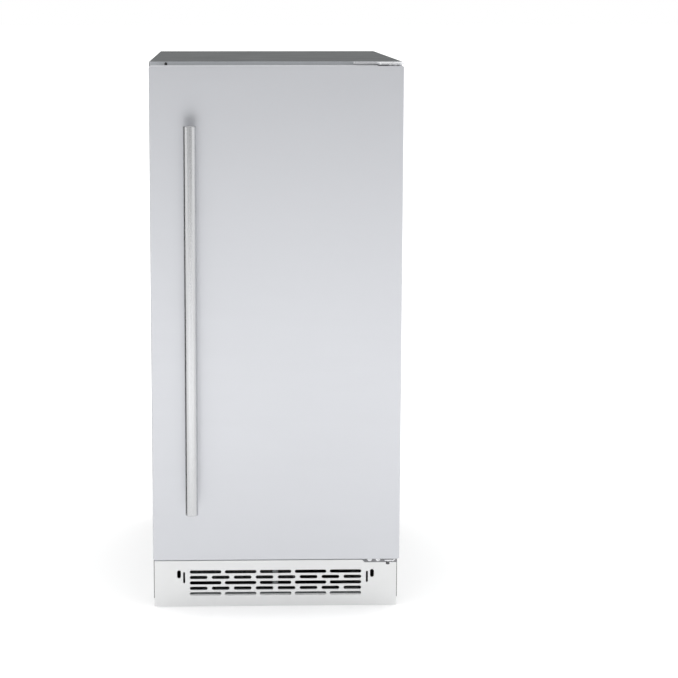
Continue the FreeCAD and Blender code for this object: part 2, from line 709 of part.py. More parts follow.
def coil_points():
    """Serpentine behind the grid, with both ends led down the back wall."""
    points = [(LINE_UP_X, LINE_BACK_Y, LINE_END_Z), (LINE_UP_X, LINE_BACK_Y, COIL_PASSES[0])]
    points.append((LINE_UP_X, COIL_Y, COIL_PASSES[0]))
    side = -1
    for i, z in enumerate(COIL_PASSES[:-1]):
        points.append((side * COIL_REACH, COIL_Y, z))
        points.append((side * COIL_REACH, COIL_Y, COIL_PASSES[i + 1]))
        side = -side
    points.append((LINE_DOWN_X, COIL_Y, COIL_PASSES[-1]))
    points.append((LINE_DOWN_X, LINE_BACK_Y, COIL_PASSES[-1]))
    points.append((LINE_DOWN_X, LINE_BACK_Y, LINE_END_Z))
    return points


def evaporator_coil():
    return tube(coil_points(), COIL_BEND, LINE_RADIUS)


def evaporator_frame():
    """Moulded frame: two cheeks hung from the ceiling, a sill and a top beam."""
    parts = []
    for side in (-1, 1):
        x0, x1 = sorted((side * CHEEK_IN, side * CHEEK_OUT))
        cheek = box(x0, x1, 88.0, 134.0, 572.0, ROOM_TOP - 0.2)
        ear = box(x0, x1, 74.0, 88.0, CURTAIN_Z - 8, CURTAIN_Z + 8)
        front_edges = [e for e in edges_along(ear, X_AXIS) if e.CenterOfMass.y < 75]
        ear = ear.makeFillet(6.0, front_edges)
        parts += [cheek, ear]
    parts.append(box(-CHEEK_IN, CHEEK_IN, 92.0, 134.0, 572.0, GRID_BOTTOM - 0.3))
    parts.append(box(-CHEEK_IN, CHEEK_IN, 96.0, 134.0, 772.0, 790.0))
    hole = cylinder((-CHEEK_OUT, CURTAIN_Y, CURTAIN_Z), X_AXIS, 2 * CHEEK_OUT, 2.5 + RUNNING_GAP)
    return fused(parts).cut(hole)


def splash_curtain():
    """Hanging flap in front of the grid, with a pivot stub at each side."""
    half = CHEEK_IN - 1.0
    sheet = box(-half, half, CURTAIN_Y - 1.2, CURTAIN_Y + 1.2, 590.0, CURTAIN_Z)
    foot = prism(
        [
            (-half, CURTAIN_Y - 1.2, 590.0),
            (-half, CURTAIN_Y + 1.2, 590.0),
            (-half, CURTAIN_Y - 6.0, 576.0),
            (-half, CURTAIN_Y - 8.4, 576.0),
        ],
        X_AXIS,
        2 * half,
    )
    barrel = cylinder((-half, CURTAIN_Y, CURTAIN_Z), X_AXIS, 2 * half, 4.0)
    stubs = cylinder((-CHEEK_OUT + 1, CURTAIN_Y, CURTAIN_Z), X_AXIS, 2 * CHEEK_OUT - 2, 2.5)
    rib = box(-1, 1, CURTAIN_Y - 4.2, CURTAIN_Y - 1.0, 600.0, 756.0)
    ribs = [moved(rib, x) for x in (-60, -20, 20, 60)]
    return fused([sheet, foot, barrel, stubs, *ribs])


def water_distributor():
    """Spray tube over the grid with a row of holes and a rear inlet stub."""
    length = 2 * (CHEEK_IN - 4)
    body = cylinder((-length / 2, DISTRIBUTOR_Y, DISTRIBUTOR_Z), X_AXIS, length, 7.0)
    inlet = cylinder((RISER_X, DISTRIBUTOR_Y, DISTRIBUTOR_Z), Y_AXIS, 16.0, 4.0)
    bore = cylinder((-length / 2 + 2, DISTRIBUTOR_Y, DISTRIBUTOR_Z), X_AXIS, length - 4, 5.4)
    inlet_bore = cylinder((RISER_X, DISTRIBUTOR_Y, DISTRIBUTOR_Z), Y_AXIS, 17.0, 2.8)
    post = box(-3, 3, DISTRIBUTOR_Y - 3, DISTRIBUTOR_Y + 3, DISTRIBUTOR_Z + 6, 772.0)
    posts = [moved(post, x) for x in (-80, 80)]
    jet = cylinder((-91, DISTRIBUTOR_Y, DISTRIBUTOR_Z - 9), Z_AXIS, 5, 1.2)
    jets = [moved(jet, 26 * i) for i in range(8)]
    return fused([body, inlet, *posts]).cut([bore, inlet_bore, *jets])


def water_trough():
    """Open tub under the grid that catches and feeds back the water."""
    wall = TROUGH_WALL
    outer = box(-TROUGH_HALF, TROUGH_HALF, TROUGH_FRONT, TROUGH_BACK, TROUGH_BOTTOM, TROUGH_TOP)
    outer = rounded(outer, Z_AXIS, 5.0)
    inner = box(
        -TROUGH_HALF + wall,
        TROUGH_HALF - wall,
        TROUGH_FRONT + wall,
        TROUGH_BACK - wall,
        TROUGH_BOTTOM + wall,
        TROUGH_TOP + 1,
    )
    return outer.cut(rounded(inner, Z_AXIS, 3.0))


def ice_chute():
    """Row of sloping slats that lets water through and turns cubes forward."""
    base = TROUGH_TOP
    profile = [(64.0, base), (132.0, base), (132.0, base + 14.0), (64.0, base + 3.0)]
    slats = []
    for i in range(15):
        x = -106.0 + 15.0 * i
        slats.append(prism([(x, y, z) for y, z in profile], X_AXIS, 2.0))
    rails = [box(-140.0, 140.0, y, y + 4, base, base + 2.5) for y in (66.0, 126.0)]
    return fused([*slats, *rails])


VOLUTE_TOP = 524.0
VOLUTE_BOTTOM = 504.0


def water_pump():
    """Circulation pump: motor on a bridge plate, column and volute in the trough."""
    plate = box(56.0, 146.0, 176.0, TROUGH_BACK - 1, TROUGH_TOP, TROUGH_TOP + 3)
    motor = cylinder((PUMP_X, PUMP_Y, TROUGH_TOP + 3), Z_AXIS, 50, 23.0)
    motor = motor.makeFillet(4.0, edges_on_plane(motor, Z_AXIS, TROUGH_TOP + 53))
    column = cylinder((PUMP_X, PUMP_Y, VOLUTE_TOP), Z_AXIS, TROUGH_TOP - VOLUTE_TOP, 10.0)
    column_bore = cylinder((PUMP_X, PUMP_Y, VOLUTE_TOP - 3), Z_AXIS, TROUGH_TOP - VOLUTE_TOP, 7.5)
    volute = cylinder((PUMP_X, PUMP_Y, VOLUTE_BOTTOM), Z_AXIS, VOLUTE_TOP - VOLUTE_BOTTOM, 18.0)
    chamber = cylinder((PUMP_X, PUMP_Y, VOLUTE_BOTTOM + 2), Z_AXIS, VOLUTE_TOP - VOLUTE_BOTTOM - 4, 15)
    eye = cylinder((PUMP_X, PUMP_Y, VOLUTE_BOTTOM - 1), Z_AXIS, 5, 7.0)
    barb = cylinder((PUMP_X, PUMP_Y, 514.0), V(-1, 0, 0), 30, 4.0)
    barb_bore = cylinder((PUMP_X, PUMP_Y, 514.0), V(-1, 0, 0), 31, 2.8)
    solid = fused([plate, motor, column, volute, barb])
    return solid.cut([chamber, column_bore, eye, barb_bore])


def pump_impeller():
    """Shaft with a disc and six blades, turned by the pump motor."""
    shaft = cylinder((PUMP_X, PUMP_Y, 509.0), Z_AXIS, 42.0, 3.0)
    disc = cylinder((PUMP_X, PUMP_Y, 516.0), Z_AXIS, 2.0, 14.0)
    blades = []
    for i in range(6):
        blade = box(PUMP_X + 2.0, PUMP_X + 13.5, PUMP_Y - 0.8, PUMP_Y + 0.8, 508.5, 516.5)
        blade.rotate(V(PUMP_X, PUMP_Y, 0), Z_AXIS, 60.0 * i)
        blades.append(blade)
    return fused([shaft, disc, *blades])


def pump_hose():
    """Silicone hose from the pump's barb up to the distributor."""
    start = PUMP_X - 30.0 + 6.0
    points = [
        (start, PUMP_Y, 514.0),
        (RISER_X, PUMP_Y, 514.0),
        (RISER_X, PUMP_Y, DISTRIBUTOR_Z),
        (RISER_X, DISTRIBUTOR_Y + 8.0, DISTRIBUTOR_Z),
    ]
    return tube(points, 14.0, 6.0, 4.0)


FLOAT_REST = 506.0


def float_stem():
    """Bracket on the trough's rim with the level switch's stem and end stop."""
    bracket = box(-146.0, -80.0, 196.0, TROUGH_BACK - 1, TROUGH_TOP, TROUGH_TOP + 3)
    stem = cylinder((FLOAT_X, FLOAT_Y, 503.0), Z_AXIS, TROUGH_TOP - 503.0, 3.0)
    stop = cylinder((FLOAT_X, FLOAT_Y, 503.0), Z_AXIS, FLOAT_REST - 503.0, 5.0)
    cap = cylinder((FLOAT_X, FLOAT_Y, TROUGH_TOP + 3), Z_AXIS, 9, 7.0)
    tube_hole = cylinder((WATER_X, 240.0, TROUGH_TOP - 1), Z_AXIS, 5, WATER_TUBE_RADIUS + FIT_GAP)
    return fused([bracket, stem, stop, cap]).cut(tube_hole)


def level_float():
    """Foam ring that rides up the stem as the trough fills."""
    ring = cylinder((FLOAT_X, FLOAT_Y, FLOAT_REST), Z_AXIS, 20, 12.0)
    ring = ring.makeFillet(2.0, edges_on_plane(ring, Z_AXIS, FLOAT_REST + 20))
    return ring.cut(cylinder((FLOAT_X, FLOAT_Y, FLOAT_REST - 1), Z_AXIS, 22, 3.0 + MOVING_GAP))


def bin_sensor():
    """Ice-level probe on the right wall: clip block with a capillary bulb."""
    x1 = ROOM_HALF
    block = box(x1 - 12.0, x1, -40.0, -10.0, SENSOR_Z - 12, SENSOR_Z + 12)
    block = rounded(block, X_AXIS, 4.0)
    bulb = cylinder((x1 - 7.0, -150.0, SENSOR_Z), Y_AXIS, 230.0, 3.5)
    return fused([block, bulb])


SCOOP_WALL = 2.0
SCOOP_GAP = 3.0


def ice_scoop():
    """Moulded scoop hung bowl-down by two holes in its handle plate."""
    x0 = -ROOM_HALF + SCOOP_GAP
    plate = box(x0, x0 + 4.0, SCOOP_Y - 32, SCOOP_Y + 32, 366.0, SCOOP_PEG_Z + 24)
    plate = rounded(plate, X_AXIS, 14.0)
    outer = box(x0, x0 + 62.0, SCOOP_Y - 45, SCOOP_Y + 45, 250.0, 372.0)
    outer = rounded(outer, Z_AXIS, 16.0)
    inner = box(
        x0 + SCOOP_WALL,
        x0 + 62.0 - SCOOP_WALL,
        SCOOP_Y - 45 + SCOOP_WALL,
        SCOOP_Y + 45 - SCOOP_WALL,
        249.0,
        372.0 - SCOOP_WALL,
    )
    inner = rounded(inner, Z_AXIS, 14.0)
    cut_y = SCOOP_Y - 60
    mouth = [(x0 + 8.0, cut_y, 240.0), (x0 + 90.0, cut_y, 240.0), (x0 + 90.0, cut_y, 342.0)]
    slope = prism(mouth, Y_AXIS, 120.0)
    bowl = outer.cut([inner, slope])
    keyholes = []
    for y in (SCOOP_Y - 18, SCOOP_Y + 18):
        keyholes.append(cylinder((x0 - 1, y, SCOOP_PEG_Z), X_AXIS, 6, 3.5 + MOVING_GAP))
        keyholes.append(box(x0 - 1, x0 + 5, y - 3.9, y + 3.9, SCOOP_PEG_Z - 34, SCOOP_PEG_Z))
        keyholes.append(cylinder((x0 - 1, y, SCOOP_PEG_Z - 34), X_AXIS, 6, 6.0))
    return fused([plate, bowl]).cut(keyholes)


# ---------------------------------------------------------------- machine compartment
FLOOR_Z = PAN_BOTTOM + PAN_SHEET


def condenser():
    """Fin-and-tube block between two end plates."""
    x0, x1, y0, y1, z0, z1 = CONDENSER
    plates = [box(x, x + 1.5, y0 - 2, y1 + 2, FLOOR_Z, z1 + 2) for x in (x0, x1 - 1.5)]
    core = box(x0 + 1.5, x1 - 1.5, y0, y1, z0, z1)
    return fused([core, *plates])


FAN_PLATE_Y = -150.0


def fan_shroud():
    """Plate with a round mouth and a short ring, and arms for the motor."""
    y0 = FAN_PLATE_Y
    plate = box(CONDENSER[0], CONDENSER[1], y0, y0 + 2, FLOOR_Z, 172.0)
    ring = cylinder((FAN_X, y0, FAN_Z), Y_AXIS, 22, FAN_RADIUS + 6)
    mouth = cylinder((FAN_X, y0 - 1, FAN_Z), Y_AXIS, 30, FAN_RADIUS + 4)
    arms = [
        box(FAN_X - 70, FAN_X + 70, y0 + 44, y0 + 47, FAN_Z - 5, FAN_Z + 5),
        box(FAN_X - 70, FAN_X - 66, y0, y0 + 47, FAN_Z - 5, FAN_Z + 5),
        box(FAN_X + 66, FAN_X + 70, y0, y0 + 47, FAN_Z - 5, FAN_Z + 5),
    ]
    return fused([plate, ring]).cut(mouth).fuse(arms)


def condenser_fan():
    """Five-blade fan on a hub, blades pitched about their own radius."""
    hub_y = FAN_PLATE_Y + 4
    hub = cylinder((FAN_X, hub_y, FAN_Z), Y_AXIS, 16, 15.0)
    hub = hub.makeFillet(3.0, edges_on_plane(hub, Y_AXIS, hub_y))
    blades = []
    for i in range(5):
        blade = Part.makeBox(FAN_RADIUS - 12.0, 1.6, 26.0, V(12.0, -0.8, -13.0))
        tips = [e for e in edges_along(blade, Y_AXIS) if e.CenterOfMass.x > 20]
        blade = blade.makeFillet(9.0, tips)
        blade.rotate(V(0, 0, 0), X_AXIS, -32.0)
        blade.rotate(V(0, 0, 0), Y_AXIS, 72.0 * i)
        blade.translate(V(FAN_X, hub_y + 8.0, FAN_Z))
        blades.append(blade)
    bore = cylinder((FAN_X, hub_y + 6, FAN_Z), Y_AXIS, 12, 3.0 + RUNNING_GAP)
    return fused([hub, *blades]).cut(bore)


def fan_motor():
    """Shaded-pole motor behind the fan, its shaft end in the hub."""
    back = FAN_PLATE_Y + 44
    can = cylinder((FAN_X, back - 18, FAN_Z), Y_AXIS, 18, 21.0)
    can = can.makeFillet(2.5, edges_on_plane(can, Y_AXIS, back - 18))
    shaft = cylinder((FAN_X, FAN_PLATE_Y + 12, FAN_Z), Y_AXIS, 20, 3.0)
    return fused([can, shaft])


MOUNT_PLACES = [
    (COMPRESSOR_X + dx, COMPRESSOR_Y + dy) for dx in (-62.0, 62.0) for dy in (-56.0, 56.0)
]


SUCTION_Z = 122.0
DISCHARGE_Z = 84.0
STUB_REACH = COMPRESSOR_RADIUS + 12.0


def compressor():
    """Welded shell of two domed halves with a seam, foot plate and stubs."""
    r = COMPRESSOR_RADIUS
    low, high = 34.0, 176.0
    shell = cylinder((COMPRESSOR_X, COMPRESSOR_Y, low), Z_AXIS, high - low, r)
    shell = shell.makeFillet(34.0, edges_on_plane(shell, Z_AXIS, high))
    shell = shell.makeFillet(20.0, edges_on_plane(shell, Z_AXIS, low))
    seam = cylinder((COMPRESSOR_X, COMPRESSOR_Y, 102.0), Z_AXIS, 5, r + 3)
    foot = box(-74.0, 74.0, -68.0, 68.0, 34.0, 37.0)
    foot = moved(rounded(foot, Z_AXIS, 12.0), COMPRESSOR_X, COMPRESSOR_Y)
    left = COMPRESSOR_X - r
    terminal = box(left - 16, left + 20, COMPRESSOR_Y - 26, COMPRESSOR_Y + 26, 58.0, 98.0)
    terminal = rounded(terminal, X_AXIS, 6.0)
    stubs = [
        cylinder((LINE_DOWN_X, COMPRESSOR_Y, SUCTION_Z), Y_AXIS, STUB_REACH, 5.0),
        cylinder((COMPRESSOR_X, COMPRESSOR_Y, DISCHARGE_Z), V(0, -1, 0), STUB_REACH, 4.0),
    ]
    holes = [cylinder((x, y, 30), Z_AXIS, 12, 7.2) for x, y in MOUNT_PLACES]
    return fused([shell, seam, foot, terminal, *stubs]).cut(holes)


def compressor_mounts():
    """Rubber grommets under and through the foot plate."""
    mounts = []
    for x, y in MOUNT_PLACES:
        skirt = cylinder((x, y, FLOOR_Z), Z_AXIS, 34.0 - FLOOR_Z, 11.0)
        neck = cylinder((x, y, 34.0), Z_AXIS, 5.0, 7.0)
        mounts.append(fused([skirt, neck]).cut(cylinder((x, y, FLOOR_Z - 1), Z_AXIS, 30, 3.2)))
    return group(mounts)


DRIER = (-14.0, 270.0)
DRIER_ENDS = (72.0, 146.0)
VALVE = (-40.0, 240.0)
VALVE_Z = 110.0
TEE_Y = 60.0
HOT_GAS_Z = 158.0


def filter_drier():
    """Spun copper capsule with drawn-in ends."""
    low, high = DRIER_ENDS
    body = cylinder((*DRIER, low + 12), Z_AXIS, high - low - 24, 10.0)
    top = Part.makeCone(10.0, 3.0, 12, V(*DRIER, high - 12), Z_AXIS)
    bottom = Part.makeCone(3.0, 10.0, 12, V(*DRIER, low), Z_AXIS)
    return fused([body, top, bottom])


def hot_gas_valve():
    """Solenoid valve that sends hot gas to the grid at harvest."""
    x, y = VALVE
    body = rounded(box(x - 11, x + 11, y - 11, y + 11, VALVE_Z - 10, VALVE_Z + 10), Z_AXIS, 3.0)
    coil = cylinder((x, y, VALVE_Z + 10), Z_AXIS, 26, 16.0)
    nut = cylinder((x, y, VALVE_Z + 36), Z_AXIS, 5, 6.0)
    return fused([body, coil, nut])


def refrigerant_lines():
    """Copper pipes between compressor, condenser, drier, valve and grid coil."""
    side = CONDENSER[1]
    header_y = (CONDENSER[2] + CONDENSER[3]) / 2
    front = COMPRESSOR_Y - STUB_REACH
    rear = COMPRESSOR_Y + STUB_REACH
    discharge = [
        (COMPRESSOR_X, front, DISCHARGE_Z),
        (COMPRESSOR_X, TEE_Y, DISCHARGE_Z),
        (COMPRESSOR_X, TEE_Y, 150.0),
        (COMPRESSOR_X, header_y, 150.0),
        (side, header_y, 150.0),
    ]
    liquid = [
        (side, header_y, 46.0),
        (side + 16, header_y, 46.0),
        (side + 16, -60.0, 46.0),
        (DRIER[0], -60.0, 46.0),
        (*DRIER, 46.0),
        (*DRIER, DRIER_ENDS[0]),
    ]
    hot_gas_in = [
        (COMPRESSOR_X - 3.0, TEE_Y, VALVE_Z),
        (VALVE[0], TEE_Y, VALVE_Z),
        (VALVE[0], VALVE[1] - 11, VALVE_Z),
    ]
    hot_gas_out = [
        (VALVE[0], VALVE[1] + 11, VALVE_Z),
        (VALVE[0], LINE_BACK_Y, VALVE_Z),
        (VALVE[0], LINE_BACK_Y, HOT_GAS_Z),
        (LINE_UP_X - LINE_RADIUS, LINE_BACK_Y, HOT_GAS_Z),
    ]
    capillary = [
        (*DRIER, DRIER_ENDS[1]),
        (*DRIER, HOT_GAS_Z),
        (LINE_UP_X, DRIER[1], HOT_GAS_Z),
        (LINE_UP_X, LINE_BACK_Y - LINE_RADIUS, HOT_GAS_Z),
    ]
    suction = [
        (LINE_DOWN_X, LINE_BACK_Y, LINE_END_Z),
        (LINE_DOWN_X, LINE_BACK_Y, SUCTION_Z),
        (LINE_DOWN_X, rear, SUCTION_Z),
    ]
    runs = [
        (discharge, 12.0, 3.0),
        (liquid, 12.0, 2.5),
        (hot_gas_in, 12.0, 3.0),
        (hot_gas_out, 12.0, 3.0),
        (capillary, 5.0, 1.4),
        (suction, 10.0, LINE_RADIUS),
    ]
    return group(tube(points, bend, radius) for points, bend, radius in runs)


def water_inlet_valve():
    """Inlet solenoid valve: threaded inlet through the cover, body, coil, outlet."""
    y = COVER_Y
    inlet = cylinder((WATER_X, y - 6, WATER_Z), Y_AXIS, 28.0, WATER_RADIUS)
    inlet_bore = cylinder((WATER_X, y - 2, WATER_Z), Y_AXIS, 30.0, 8.0)
    collar = cylinder((WATER_X, y - 5, WATER_Z), Y_AXIS, 5.0, 17.0)
    lock_nut = cylinder((WATER_X, y + SHEET, WATER_Z), Y_AXIS, 4.0, 17.0)
    body = box(WATER_X - 14, WATER_X + 14, y - 36, y - 5, WATER_Z - 14, WATER_Z + 14)
    body = rounded(body, Y_AXIS, 4.0)
    coil = cylinder((WATER_X, y - 36, WATER_Z), V(0, -1, 0), 30, 16.0)
    outlet = cylinder((WATER_X, WATER_TUBE_Y, WATER_Z), Z_AXIS, 30, 5.0)
    return fused([inlet, collar, lock_nut, body, coil, outlet]).cut(inlet_bore)


INLET_BEND = 6.3


def inlet_points():
    """Water tube from the valve's outlet up the back wall into the trough."""
    return [
        (WATER_X, WATER_TUBE_Y, WATER_Z + 30),
        (WATER_X, WATER_TUBE_Y, WATER_TUBE_Z),
        (WATER_X, 240.0, WATER_TUBE_Z),
        (WATER_X, 240.0, 552.0),
    ]


def water_inlet_tube():
    return tube(inlet_points(), INLET_BEND, WATER_TUBE_RADIUS)


def drain_pipe():
    """Grated waste in the compartment floor, with a pipe to the outlet stub."""
    x, y = DRAIN_HOLE
    flange = cylinder((x, y, ROOM_BOTTOM), Z_AXIS, 1.5, 14.0)
    slot_cut = box(x - 7, x + 7, y - 1, y + 1, ROOM_BOTTOM - 1, ROOM_BOTTOM + 3)
    slots = [moved(slot_cut, 0, offset) for offset in (-6, -2, 2, 6)]
    route_points = [
        (x, y, ROOM_BOTTOM),
        (x, y, DRAIN_Z),
        (x, COVER_Y + SHEET + 0.3 + SPIGOT_LENGTH, DRAIN_Z),
    ]
    pipe = tube(route_points, 20.0, DRAIN_RADIUS)
    spigot = cylinder((x, COVER_Y + SHEET + 0.3, DRAIN_Z), Y_AXIS, SPIGOT_LENGTH, SPIGOT_RADIUS)
    bore = tube(route_points, 20.0, DRAIN_RADIUS - 1.5)
    return fused([flange, pipe, spigot]).cut([bore.cut(flange), *slots])


def cord_gland():
    """Moulded gland in the rear cover for the mains lead."""
    y = COVER_Y
    outside = cylinder((GLAND_X, y + SHEET, GLAND_Z), Y_AXIS, 10, 11.0)
    outside = outside.makeFillet(2.0, edges_on_plane(outside, Y_AXIS, y + SHEET + 10))
    neck = cylinder((GLAND_X, y - 8, GLAND_Z), Y_AXIS, 10, 8.0)
    nut = cylinder((GLAND_X, y - 6, GLAND_Z), Y_AXIS, 6, 11.0)
    bore = cylinder((GLAND_X, y - 10, GLAND_Z), Y_AXIS, 30, GLAND_BORE)
    return fused([outside, neck, nut]).cut(bore)


# ---------------------------------------------------------------- door
SKIN_DEPTH = 39.0
DOOR_HALF = DOOR_WIDTH / 2
DOOR_EDGE = 3.0


def door_block(y0, y1, inset=0.0):
    return box(
        -DOOR_HALF + inset, DOOR_HALF - inset, y0, y1, DOOR_BOTTOM + inset, DOOR_TOP - inset
    )


def bush_holes(radius):
    return [
        cylinder((HINGE_X, HINGE_Y, DOOR_TOP - BUSH_LENGTH), Z_AXIS, BUSH_LENGTH + 1, radius),
        cylinder((HINGE_X, HINGE_Y, DOOR_BOTTOM - 1), Z_AXIS, BUSH_LENGTH + 1, radius),
    ]


def door_skin():
    """Stainless outer skin: a shallow pan with softly folded front edges."""
    outer = door_block(DOOR_FACE, DOOR_FACE + SKIN_DEPTH)
    outer = rounded(outer, Y_AXIS, DOOR_EDGE)
    outer = outer.makeFillet(1.6, edges_on_plane(outer, Y_AXIS, DOOR_FACE))
    inner = rounded(door_block(DOOR_FACE + SHEET, DOOR_BACK, SHEET), Y_AXIS, 2.0)
    return outer.cut([inner, *bush_holes(BUSH_RADIUS)])


EMBOSS = (-140.0, 140.0, 234.0, 788.0)
LINER_BEVEL = 2.8  # room beside the hinge screws as the door swings


def door_liner():
    """Moulded inner panel: a flat edge for the gasket and a raised centre."""
    edge = DOOR_FACE + SKIN_DEPTH
    plate = rounded(door_block(edge, DOOR_BACK), Y_AXIS, DOOR_EDGE)
    plate = plate.makeChamfer(LINER_BEVEL, edges_on_plane(plate, Y_AXIS, DOOR_BACK))
    raised = box(EMBOSS[0], EMBOSS[1], DOOR_BACK, DOOR_BACK + 5.0, EMBOSS[2], EMBOSS[3])
    raised = rounded(raised, Y_AXIS, 18.0)
    raised = raised.makeFillet(3.5, edges_on_plane(raised, Y_AXIS, DOOR_BACK + 5.0))
    x0, x1, z0, z1 = EMBOSS
    well = box(x0 + 26, x1 - 26, DOOR_BACK + 1.5, DOOR_BACK + 6, z0 + 26, z1 - 26)
    return fused([plate, raised]).cut(rounded(well, Y_AXIS, 12.0))


def door_insulation():
    block = door_block(DOOR_FACE + SHEET, DOOR_FACE + SKIN_DEPTH, SHEET)
    block = rounded(block, Y_AXIS, 2.0)
    return block.cut(bush_holes(BUSH_RADIUS))


GASKET_OUT = (166.0, 202.0, 818.0)  # half width, bottom, top
GASKET_WIDTH = 14.0


def door_gasket():
    """Magnetic seal ring between the door liner and the front frame."""
    half, low, high = GASKET_OUT
    w = GASKET_WIDTH
    outer = rounded(box(-half, half, DOOR_BACK, FRONT, low, high), Y_AXIS, 16.0)
    inner = box(-half + w, half - w, DOOR_BACK - 1, FRONT + 1, low + w, high - w)
    return outer.cut(rounded(inner, Y_AXIS, 6.0))


def handle_cylinder():
    length = HANDLE_TOP - HANDLE_BOTTOM
    return cylinder((HANDLE_X, BAR_Y, HANDLE_BOTTOM), Z_AXIS, length, HANDLE_DIAMETER / 2)


def handle_bar():
    bar = handle_cylinder()
    rims = edges_on_plane(bar, Z_AXIS, HANDLE_TOP) + edges_on_plane(bar, Z_AXIS, HANDLE_BOTTOM)
    return bar.makeFillet(1.5, rims)


POST_INSET = 45.0
POST_RADIUS = 6.0


def handle_posts():
    """Round stand-offs, saddled to the bar, with a shoulder on the door."""
    bar = handle_cylinder()
    posts = []
    for z in (HANDLE_BOTTOM + POST_INSET, HANDLE_TOP - POST_INSET):
        neck = cylinder((HANDLE_X, BAR_Y, z), Y_AXIS, HANDLE_STANDOFF, POST_RADIUS)
        shoulder = cylinder((HANDLE_X, DOOR_FACE - 4, z), Y_AXIS, 4, 8.0)
        posts.append(fused([neck, shoulder]).cut(bar))
    return group(posts)


def hinge_bushes():
    """Nylon bushes pressed into the door's top and bottom edges."""
    bushes = []
    for z0 in (DOOR_TOP - BUSH_LENGTH, DOOR_BOTTOM):
        body = cylinder((HINGE_X, HINGE_Y, z0), Z_AXIS, BUSH_LENGTH, BUSH_RADIUS)
        bore_z = z0 - 1 if z0 == DOOR_BOTTOM else z0 + 1
        bore = cylinder((HINGE_X, HINGE_Y, bore_z), Z_AXIS, BUSH_LENGTH, PIN_RADIUS + RUNNING_GAP)
        bushes.append(body.cut(bore))
    return group(bushes)


# ---------------------------------------------------------------- all nodes
def nodes():
    """Node name to shape, in the order of assembly."""
    made = {
        "top_panel": top_panel(),
        "left_side_panel": side_panel(-1),
        "right_side_panel": side_panel(1),
        "rear_panel": rear_panel(),
        "rear_access_cover": rear_access_cover(),
        "panel_screws": panel_screws(),
        "base_pan": base_pan(),
        "cabinet_insulation": cabinet_insulation(),
        "inner_liner": inner_liner(),
        "front_frame": front_frame(),
        "hinge_hole_plug": hinge_hole_plug(),
        "top_hinge_bracket": top_hinge_bracket(),
        "bottom_hinge_bracket": bottom_hinge_bracket(),
        "hinge_pins": hinge_pins(),
        "toe_grille": toe_grille(),
        "ice_retainer": ice_retainer(),
        "control_housing": control_housing(),
        "display_window": display_window(),
        "light_lens": light_lens(),
        "evaporator_grid": evaporator_grid(),
        "evaporator_coil": evaporator_coil(),
        "evaporator_frame": evaporator_frame(),
        "water_distributor": water_distributor(),
        "water_trough": water_trough(),
        "ice_chute": ice_chute(),
        "water_pump": water_pump(),
        "pump_hose": pump_hose(),
        "float_stem": float_stem(),
        "bin_sensor": bin_sensor(),
        "compressor": compressor(),
        "compressor_mounts": compressor_mounts(),
        "condenser": condenser(),
        "fan_shroud": fan_shroud(),
        "fan_motor": fan_motor(),
        "filter_drier": filter_drier(),
        "hot_gas_valve": hot_gas_valve(),
        "refrigerant_lines": refrigerant_lines(),
        "water_inlet_valve": water_inlet_valve(),
        "water_inlet_tube": water_inlet_tube(),
        "drain_pipe": drain_pipe(),
        "cord_gland": cord_gland(),
        "door_skin": door_skin(),
        "door_insulation": door_insulation(),
        "door_liner": door_liner(),
        "door_gasket": door_gasket(),
        "handle_bar": handle_bar(),
        "handle_posts": handle_posts(),
        "hinge_bushes": hinge_bushes(),
        "splash_curtain": splash_curtain(),
        "condenser_fan": condenser_fan(),
        "level_float": level_float(),
        "ice_scoop": ice_scoop(),
        "pump_impeller": pump_impeller(),
    }
    for name, x in BUTTON_X.items():
        made[f"{name}_button"] = button(x)
    for name, (x, y) in LEGS.items():
        made[f"leg_{name}"] = leg(x, y)
    return made


def main():
    os.makedirs("parts", exist_ok=True)
    for name, shape in nodes().items():
        solids = shape.Solids
        if not solids or not shape.isValid() or min(s.Volume for s in solids) <= 0:
            raise ValueError(f"{name} is not a valid closed solid")
        shape.exportStep(f"parts/{name}.step")
        print(f"{name}: {len(solids)} solid(s), {sum(s.Volume for s in solids) / 1000:.1f} cm3")


main()
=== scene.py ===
import json
import math

import bmesh
import bpy
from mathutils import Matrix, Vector


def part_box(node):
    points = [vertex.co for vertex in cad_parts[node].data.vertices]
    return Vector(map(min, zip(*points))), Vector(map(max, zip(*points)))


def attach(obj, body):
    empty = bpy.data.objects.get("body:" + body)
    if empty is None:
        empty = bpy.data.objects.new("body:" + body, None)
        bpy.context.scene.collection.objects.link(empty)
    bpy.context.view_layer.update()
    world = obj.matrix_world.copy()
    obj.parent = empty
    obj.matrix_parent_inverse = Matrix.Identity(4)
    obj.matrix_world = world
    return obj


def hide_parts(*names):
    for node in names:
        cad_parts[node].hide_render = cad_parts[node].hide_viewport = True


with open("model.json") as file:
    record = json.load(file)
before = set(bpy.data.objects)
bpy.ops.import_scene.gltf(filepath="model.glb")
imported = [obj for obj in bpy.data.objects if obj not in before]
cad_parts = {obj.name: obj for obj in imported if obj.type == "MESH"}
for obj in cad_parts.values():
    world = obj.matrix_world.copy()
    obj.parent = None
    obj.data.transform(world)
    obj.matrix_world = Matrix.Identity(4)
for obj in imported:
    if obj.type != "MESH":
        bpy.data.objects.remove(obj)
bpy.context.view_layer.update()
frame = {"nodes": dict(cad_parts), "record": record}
NODES = frame["nodes"]
MM = 0.001


# ---------------------------------------------------------------- procedural materials
QUARTER_TURN = 0.25
DOOR_GRAIN = (6.0, 900.0, 900.0)
GRILLE_GRAIN = (8.0, 900.0, 900.0)
BAR_GRAIN = (700.0, 700.0, 5.0)


